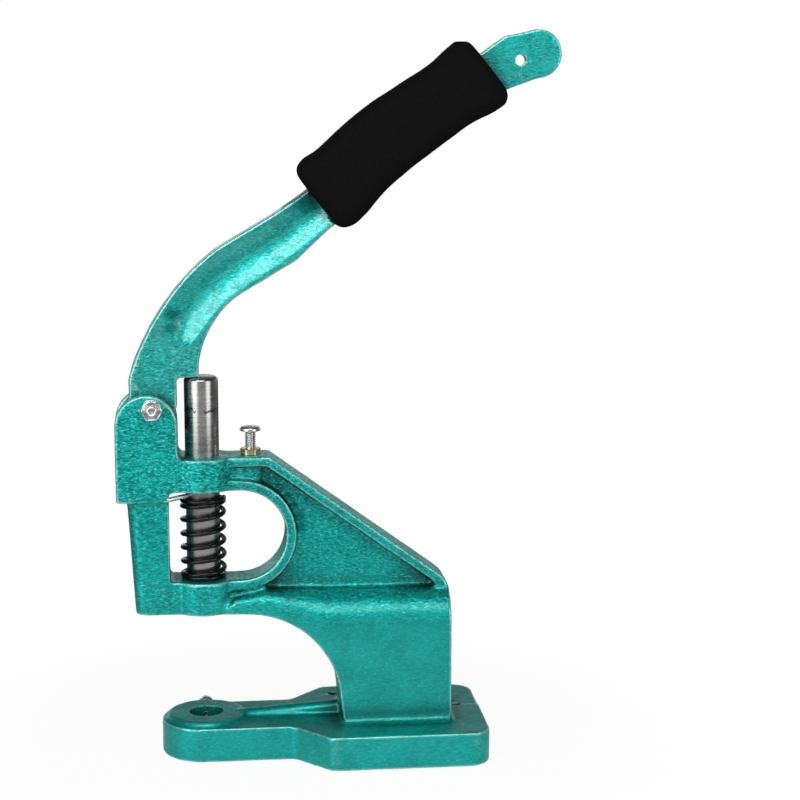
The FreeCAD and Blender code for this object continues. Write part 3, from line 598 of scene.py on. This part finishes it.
across_lever = {"at": PIVOT_LINE, "facing": (0, 1, 0)}
across_blade = {"at": HANG_SPOT, "facing": (0, 1, 0)}
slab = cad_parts["lever_casting"].data.copy()
flat = points(slab)
flat[:, 1] = np.copysign(LEVER_HALF, flat[:, 1])
move_points(slab, flat)
plugs = [rod(PIVOT_HOLE + PLUG_LAP, -LEVER_HALF, LEVER_HALF, **across_lever),
         rod(HANG_HOLE + PLUG_LAP, -LEVER_HALF, LEVER_HALF, **across_blade)]
lever = loose("lever", merged("lever", slab, *plugs))
cast_skin(lever, voxel=0.7, fillet=0.6, softness=4)
place = points(lever.data)
run = (place[:, 0] - GRIP_ROOT[0]) * math.cos(GRIP_TILT) + (place[:, 2] - GRIP_ROOT[1]) * math.sin(GRIP_TILT)
half = LEVER_HALF - scoop(place[:, 0], place[:, 2])
half = half + (BAR_HALF - half) * stepped(run, *BAR_SHOULDER)
half = half + (BLADE_HALF - half) * stepped(run, BLADE_AT - BLADE_EASE, BLADE_AT + BLADE_EASE)
place[:, 1] *= half / LEVER_HALF
move_points(lever.data, place)
uneven(lever, size=9, height=0.16, box=node_box("lever_casting"))
cut(lever,
    rod(PIVOT_HOLE, -LEVER_HALF - DRILL_OVERRUN, LEVER_HALF + DRILL_OVERRUN, **across_lever),
    rod(HANG_HOLE, -LEVER_HALF - DRILL_OVERRUN, LEVER_HALF + DRILL_OVERRUN, **across_blade))
lever_enamel = enamel("lever_enamel", LEVER_TEAL, gloss=0.9, grit=LEVER_GRIT, worn=LEVER_WORN,
                      bare=THIN_TEAL, shadowed_spots=LEVER_SHADOW_SPOTS, alone=False)
piece("lever_painted", lever, lever_enamel, "lever", ["lever_casting"])


# ---------------------------------------------------------------------------------------------
# Grip: a sleeve of black closed-cell foam, moulded with a swell for the palm and square with large
# round corners. It is pushed on over the lever's bar and holds by its own squeeze.
# ---------------------------------------------------------------------------------------------
CROWN = [(4.5, 20.6), (6.5, 23.2), (11, 25), (20, 24.6), (35, 25.6), (52, 26.4), (75, 24.8), (95, 23.2),
         (108, 24), (114, 23.6), (117.5, 20.6)]
BELLY = [(4.5, -13), (7, -15.8), (11, -17.6), (20, -17.2), (35, -14.2), (52, -13.1), (75, -13.3), (95, -14.4),
         (108, -16.8), (114, -16.4), (117.5, -13.5)]
FLANK = [(4.5, 11), (7, 13.6), (11, 15), (20, 15.3), (35, 15.1), (52, 14.9), (75, 14.9), (95, 15.1),
         (108, 15.3), (114, 14.4), (117.5, 11.4)]
FOAM_SQUARE = 0.62
FOAM_RINGS = 90
END_SHRINKS = (0.02, 0.4, 0.8)
FOAM_BLACK = (0.0016, 0.0016, 0.0016)
FOAM_GREY = (0.005, 0.005, 0.005)


def foam_ring(at, shrink=1.0):
    """One section of the sleeve, square with large round corners."""
    crown, belly, flank = (float(eased(*zip(*line), np.array([at]))[0]) for line in (CROWN, BELLY, FLANK))
    angle = around(ROUND_SIDES)
    wide = np.sign(np.cos(angle)) * np.abs(np.cos(angle)) ** FOAM_SQUARE
    high = np.sign(np.sin(angle)) * np.abs(np.sin(angle)) ** FOAM_SQUARE
    offset = (crown + belly) / 2 + shrink * (crown - belly) / 2 * high
    across = GRIP_ROOT[0] + at * math.cos(GRIP_TILT) - offset * math.sin(GRIP_TILT)
    up = GRIP_ROOT[1] + at * math.sin(GRIP_TILT) + offset * math.cos(GRIP_TILT)
    return np.stack([across, shrink * flank * wide, up], axis=1)


ends = (CROWN[0][0], CROWN[-1][0])
rings = [foam_ring(ends[0], shrink) for shrink in END_SHRINKS]
rings += [foam_ring(at) for at in np.linspace(*ends, FOAM_RINGS)]
rings += [foam_ring(ends[1], shrink) for shrink in reversed(END_SHRINKS)]
sleeve = loose("sleeve", lofted("sleeve", rings))
modify(sleeve, "SMOOTH", factor=0.5, iterations=6)
settle(sleeve)
uneven(sleeve, size=22, height=0.25, box=node_box("lever_grip"))
foam = Finish("foam", Specular_IOR_Level=0.04)
spot = foam.place
pores = spot.node("ShaderNodeTexVoronoi", Vector=spot, Scale=1300)
shade = spot.grain(160, 3.0, 0.6)
foam.link(Base_Color=(pores.ramp(0.1, 0.5) * 0.5 + shade * 0.5).blend(FOAM_BLACK, FOAM_GREY),
          Roughness=shade.ramp(0.3, 0.7, 0.85, 0.97), Normal=foam.relief(0.35, 0.0003, pores))
grip = piece("grip_sleeve", sleeve, foam, "lever", ["lever_grip"], crease=60)


# ---------------------------------------------------------------------------------------------
# Pivot: a zinc-plated hexagon-head bolt through both ears and the lever, held by a plain nut on
# the near ear. Its rounded end stands just proud of the nut.
# ---------------------------------------------------------------------------------------------
FLATS = 10
NUT_THICK = 5
BOLT_RADIUS = 3
BOLT_HEAD = 4
BOLT_END = 6.2
HEX_SIDES = 72
HEX_TURN = 30
DULL_ZINC = (0.62, 0.63, 0.64)
BRIGHT_ZINC = (0.84, 0.84, 0.84)


def hexed(flats, rounding=None):
    """Radius of a hexagon round its axis, held in by a round bevel where one is given."""
    part = (around(HEX_SIDES) + math.pi / 6) % (math.pi / 3) - math.pi / 6
    radius = flats / 2 / np.cos(part)
    return radius if rounding is None else np.minimum(radius, rounding)


def hex_rings(flats, low, high, bore=0.1, bevel=1.0, soft_low=False):
    """Rings of a hexagon nut or head: flat at the bottom, or bevelled like the top."""
    corner = flats / 2 / math.cos(math.pi / 6)
    crown = [(hexed(flats, corner - bevel * (1 - step)), high - bevel * 0.55 * step)
             for step in (0, 0.2, 0.4, 0.6, 0.8, 1)]
    foot = [(hexed(flats), low)]
    if soft_low:
        foot = [(radius, low + high - height) for radius, height in reversed(crown)]
    return [(bore, low)] + foot + crown + [(bore, high)]


zinc = Finish("zinc", Metallic=1.0)
cloud = zinc.place.grain(420, 3.0, 0.6)
rub = zinc.place.grain(1800, 2.0, 0.6)
zinc.link(Base_Color=cloud.ramp(0.3, 0.7).blend(DULL_ZINC, BRIGHT_ZINC),
          Roughness=(cloud * 0.6 + rub * 0.4).ramp(0.3, 0.7, 0.2, 0.32),
          Normal=zinc.relief(0.015, 0.0001, cloud))
bolt_tip = EAR_FACE + BOLT_END
rings = [(0.1, -EAR_FACE - 0.5), (BOLT_RADIUS, -EAR_FACE - 0.5), (BOLT_RADIUS, EAR_FACE)]
rings += [(radius, bolt_tip - drop) for radius, drop in
          ((BOLT_RADIUS, 1.0), (2.8, 0.45), (2.4, 0.1), (2.0, 0), (1.7, 0.15), (1.4, 0.8), (0.1, 1.0))]
shank = turned("shank", rings, PIVOT_LINE, (0, -1, 0))
rings = hex_rings(FLATS, EAR_FACE, EAR_FACE + BOLT_HEAD)
head = turned("head", rings, PIVOT_LINE, (0, 1, 0), HEX_SIDES, HEX_TURN)
bolt = merged("bolt", shank, head)
piece("pivot_bolt_plated", bolt, zinc, "frame", ["pivot_bolt"], crease=30)
rings = hex_rings(FLATS, EAR_FACE, EAR_FACE + NUT_THICK, PIVOT_HOLE, soft_low=True)
nut = turned("nut", rings, PIVOT_LINE, (0, -1, 0), HEX_SIDES, HEX_TURN)
piece("pivot_nut_plated", nut, zinc, "frame", ["pivot_nut"], crease=30)


# ---------------------------------------------------------------------------------------------
# Stop screw: a zinc-plated pan-head screw in the top flange, behind the ram, that keeps the lever's
# bend off the flange. A thin brass hexagon nut locks it at its height.
# ---------------------------------------------------------------------------------------------
SCREW_TOP = 177.2
SCREW_HEAD = 2.4
SCREW_HEAD_RADIUS = 5.5
SCREW_LOW = 148.8
SCREW_CREST = 2.95
SCREW_PITCH = 1.0
THREAD_SIDES = 40
NUT_LOW = 162.3
NUT_HIGH = 165.3
DULL_BRASS = (0.86, 0.66, 0.33)
BRIGHT_BRASS = (0.98, 0.84, 0.54)


def threaded(low, high, crest, pitch, sides=THREAD_SIDES):
    """Rings of a right-handed thread, smaller at its low end to start in a nut, closed at both ends."""
    root = crest - 0.55 * pitch
    rings = [(0.1, low)]
    for height in np.arange(low, high, pitch / 8):
        wave = np.abs(2 * (((height - low) / pitch - np.arange(sides) / sides) % 1) - 1)
        radius = root + (crest - root) * np.clip(1.4 * wave - 0.2, 0, 1)
        ease = min(1, (height - low) / pitch + 0.2)
        rings.append((radius * (0.85 + 0.15 * ease), height))
    return rings + [(0.1, high)]


def pan_head(radius, low, thick):
    """Rings of a low domed head, from its flat underside to the middle of its top."""
    dome = [(radius * part, low + thick * rise) for part, rise in
            ((1, 0.35), (0.985, 0.55), (0.94, 0.73), (0.86, 0.86), (0.7, 0.94), (0.4, 0.985))]
    return [(radius - 0.3, low), (radius, low + 0.25)] + dome + [(0.1, low + thick)]


def cross_recess(at, facing, reach, depth):
    """Two narrow blades that cross on a head, as tools that reach below its top."""
    slots = []
    centre = np.array(at)
    axis = np.array(facing)
    wide = np.cross(axis, (1, 0, 0))
    side = np.cross(wide, axis)
    for turn in (45, 135):
        slot = turned("slot", [(1.0, -depth), (1.0, 1)], at, facing, 4, 45)
        east, north = math.cos(math.radians(turn)), math.sin(math.radians(turn))
        long_way, short_way = side * east + wide * north, side * north - wide * east
        away = points(slot) - centre
        high = away @ axis
        long_part = np.sign(away @ long_way) * reach * np.where(high < 0, 0.45, 1.0)
        short_part = np.sign(away @ short_way) * 0.5
        blade = np.outer(high, axis) + np.outer(long_part, long_way) + np.outer(short_part, short_way)
        move_points(slot, centre + blade)
        slots.append(slot)
    return slots


under_head = SCREW_TOP - SCREW_HEAD
rings = threaded(SCREW_LOW, under_head + 0.3, SCREW_CREST, SCREW_PITCH)
stem = turned("stem", rings, STOP_LINE, sides=THREAD_SIDES)
cap = loose("cap", turned("cap", pan_head(SCREW_HEAD_RADIUS, under_head, SCREW_HEAD), STOP_LINE))
cut(cap, *cross_recess((STOP_LINE[0], 0, SCREW_TOP), (0, 0, 1), reach=2.6, depth=1.5))
cap.data = merged("screw", stem, cap.data)
piece("stop_screw_plated", cap, zinc, "limit_screw", ["stop_screw"], crease=35)

brass = Finish("brass", Metallic=1.0)
tarnish = brass.place.grain(300, 3.0, 0.6)
brass.link(Base_Color=tarnish.ramp(0.3, 0.7).blend(DULL_BRASS, BRIGHT_BRASS),
           Roughness=tarnish.ramp(0.3, 0.7, 0.2, 0.32), Normal=brass.relief(0.02, 0.0001, tarnish))
rings = hex_rings(FLATS, NUT_LOW, NUT_HIGH, STOP_HOLE, bevel=0.4, soft_low=True)
lock = turned("lock", rings, STOP_LINE, (0, 0, 1), HEX_SIDES, HEX_TURN)
piece("lock_nut_brass", lock, brass, "limit_nut", ["stop_lock_nut"], crease=30)


# ---------------------------------------------------------------------------------------------
# Die clamp: a small plated pan-head screw through the far side of the seat, which holds the lower
# die by its spigot.
# ---------------------------------------------------------------------------------------------
CLAMP_TIP = 11.7
CLAMP_HEAD_AT = 30
CLAMP_HEAD = 3
CLAMP_HEAD_RADIUS = 4.1
CLAMP_CREST = 1.95
CLAMP_PITCH = 0.7
CLAMP_SIDES = 32
rings = threaded(CLAMP_TIP, CLAMP_HEAD_AT + 0.3, CLAMP_CREST, CLAMP_PITCH, CLAMP_SIDES)
stem = turned("stem", rings, CLAMP_LINE, (0, 1, 0), CLAMP_SIDES)
rings = pan_head(CLAMP_HEAD_RADIUS, CLAMP_HEAD_AT, CLAMP_HEAD)
cap = loose("cap", turned("cap", rings, CLAMP_LINE, (0, 1, 0)))
cut(cap, *cross_recess((0, CLAMP_HEAD_AT + CLAMP_HEAD, CLAMP_LINE[2]), (0, 1, 0), reach=2.0, depth=1.3))
cap.data = merged("clamp", stem, cap.data)
piece("clamp_screw_plated", cap, zinc, "clamp_screw", ["die_clamp_screw"], crease=35)


# ---------------------------------------------------------------------------------------------
# Studio: a round white table top, and a long lens a metre away. A tall soft box stands on each side
# and a wide one above the lens, with a low weak one under it and another behind the machine.
# ---------------------------------------------------------------------------------------------
CAMERA_SPOT = (-8.224, -1046.918, 370.832)
CAMERA_PITCH = 9.765
CAMERA_YAW = 6.188
CAMERA_LENS = 90.375
camera = bpy.data.objects.new("camera", bpy.data.cameras.new("camera"))
camera.location = Vector(CAMERA_SPOT) * MM
camera.rotation_euler = (math.radians(90 - CAMERA_PITCH), 0, math.radians(-CAMERA_YAW))
camera.data.lens = CAMERA_LENS
camera.data.sensor_width = 36
bpy.context.scene.collection.objects.link(camera)
bpy.context.scene.camera = camera

LIT_SPOT = Vector((0.05, 0.0, 0.17))
SOFT_BOXES = [("left", -46, 4, 1.25, (0.8, 1.3), 10.0), ("right", 46, 4, 1.35, (0.65, 1.2), 6.6),
              ("front", -10, 44, 1.3, (1.1, 0.6), 8.4), ("fill", 0, -2, 1.5, (1.4, 0.35), 1.1),
              ("rear", 160, 35, 1.5, (1.0, 0.8), 0.4)]
for name, bearing, rise, distance, (wide, high), power in SOFT_BOXES:
    bearing, rise = math.radians(bearing), math.radians(rise)
    away = Vector((math.sin(bearing) * math.cos(rise), -math.cos(bearing) * math.cos(rise), math.sin(rise)))
    lamp = bpy.data.objects.new(name, bpy.data.lights.new(name, "AREA"))
    lamp.data.shape = "RECTANGLE"
    lamp.data.size = wide
    lamp.data.size_y = high
    lamp.data.energy = power
    lamp.location = LIT_SPOT + away * distance
    lamp.rotation_euler = (-away).to_track_quat("-Z", "Y").to_euler()
    lamp.visible_camera = False
    bpy.context.scene.collection.objects.link(lamp)

BACKDROP_GLOW = 1.2
MIRRORED_LIGHT = 0.06
ROOM_LIGHT = 0.42
world = bpy.data.worlds.new("studio")
world.use_nodes = True
bpy.context.scene.world = world
sky = world.node_tree.nodes["Background"]
sky.inputs["Color"].default_value = (1, 1, 1, 1)
rays = world.node_tree.nodes.new("ShaderNodeLightPath")
seen, mirrored, through = (Link(rays.outputs[f"Is {kind} Ray"])
                           for kind in ("Camera", "Glossy", "Transmission"))
towards = Link(world.node_tree.nodes.new("ShaderNodeTexCoord").outputs["Generated"])
behind = towards.along(1).ramp(-0.2, 0.8)
low = towards.along(2).ramp(0.1, 0.34, 1.0, 0.0) * towards.along(2).ramp(0.02, 0.11, 0.2, 1.0)
in_metal = behind * low * BACKDROP_GLOW + MIRRORED_LIGHT
strength = seen + (mirrored + through) * in_metal + (1 - seen - mirrored - through) * ROOM_LIGHT
world.node_tree.links.new(strength.socket, sky.inputs["Strength"])

TABLE_RADIUS = 3.0
TABLE_DROP = 0.0004
SHEET_GREY = (0.8, 0.8, 0.8)
disc = bmesh.new()
bmesh.ops.create_circle(disc, cap_ends=True, segments=ROUND_SIDES, radius=TABLE_RADIUS)
table = bpy.data.meshes.new("floor")
disc.to_mesh(table)
disc.free()
floor = loose("floor", table)
floor.location = (LIT_SPOT.x, 0, -TABLE_DROP)
ground = bpy.data.materials.new("ground")
ground.use_nodes = True
tree = ground.node_tree
tree.nodes.remove(tree.nodes["Principled BSDF"])
rays = tree.nodes.new("ShaderNodeLightPath")
seen, mirrored = (Link(rays.outputs[f"Is {kind} Ray"]) for kind in ("Camera", "Glossy"))
spot = Link(tree.nodes.new("ShaderNodeTexCoord").outputs["Object"])
reach = spot.node("ShaderNodeVectorMath", {"operation": "LENGTH"}, 1, Vector=spot)
front = spot.along(1).ramp(-0.15, 0.15, 1.0, 0.0)
white = tree.nodes.new("ShaderNodeEmission")
matt = tree.nodes.new("ShaderNodeBsdfDiffuse")
matt.inputs["Color"].default_value = (*SHEET_GREY, 1)
glow = front * reach.ramp(0.2, 0.45, 0.63, 0.03) + 0.12
tree.links.new((seen + mirrored * glow).socket, white.inputs["Strength"])
mixed = tree.nodes.new("ShaderNodeMixShader")
share = seen * reach.ramp(0.12, 0.3, 0.93, 1.0) + mirrored * reach.ramp(0.1, 0.45, 0.5, 1.0)
tree.links.new(share.socket, mixed.inputs[0])
tree.links.new(matt.outputs[0], mixed.inputs[1])
tree.links.new(white.outputs[0], mixed.inputs[2])
tree.links.new(mixed.outputs[0], tree.nodes["Material Output"].inputs["Surface"])
floor.data.materials.append(ground)

bpy.context.scene.view_settings.view_transform = "Standard"
